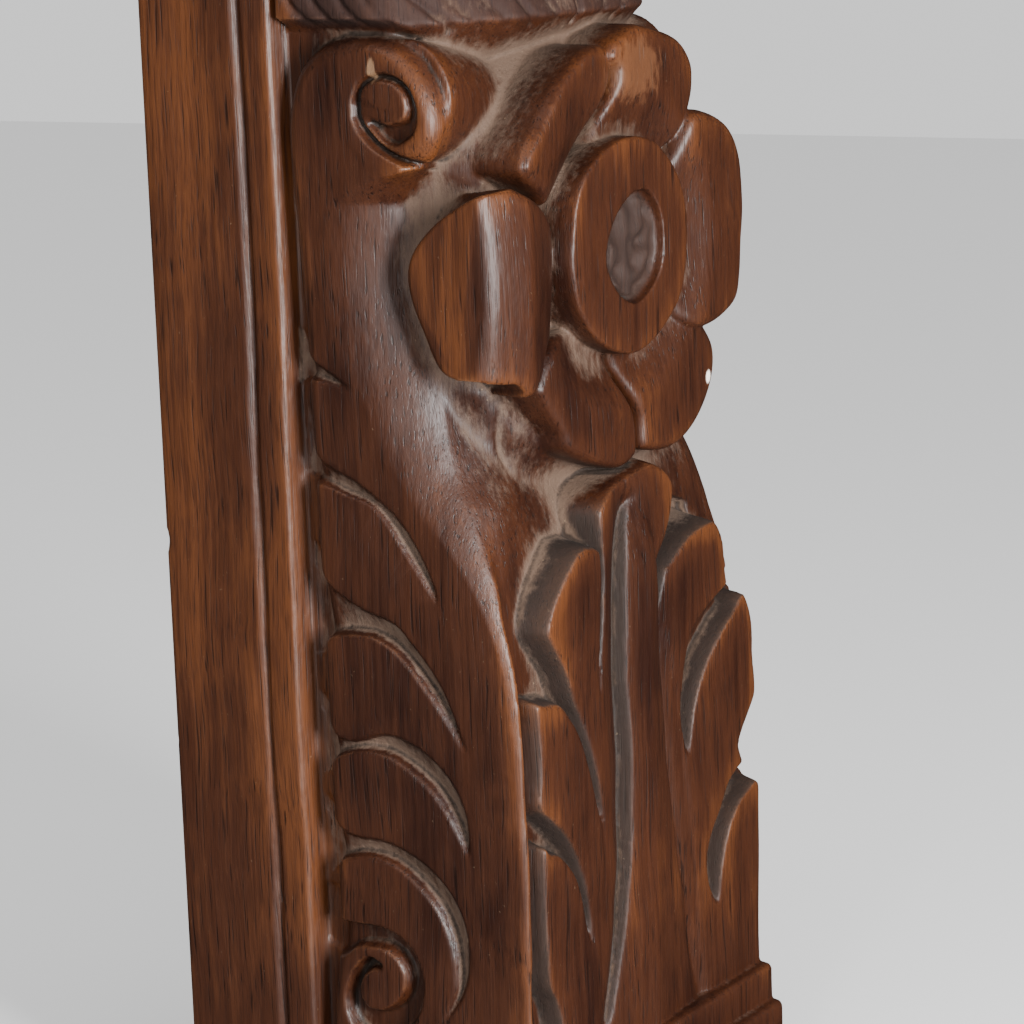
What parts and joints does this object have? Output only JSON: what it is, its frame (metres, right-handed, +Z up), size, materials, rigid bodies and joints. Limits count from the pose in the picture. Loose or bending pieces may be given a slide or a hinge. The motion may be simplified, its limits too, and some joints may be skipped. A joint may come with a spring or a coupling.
{
  "type": "carved wooden corbel bracket",
  "caption": "Carved hardwood corbel bracket with a front rosette, leaf spray, scrolled leaf flanks and a flat back for the wall.",
  "frame": {"origin": "centre of the flat back face, at the wall mount", "axes": "+Y out of the back into the wall, -Y to the carved front, +X across the width, +Z up"},
  "size_m": [0.26, 0.251, 0.81],
  "materials": {
    "dark_hardwood": "waxed, worn, with dust in the hollows"
  },
  "bodies": {
    "root": {"corbel": "dark_hardwood"}
  },
  "joints": []
}
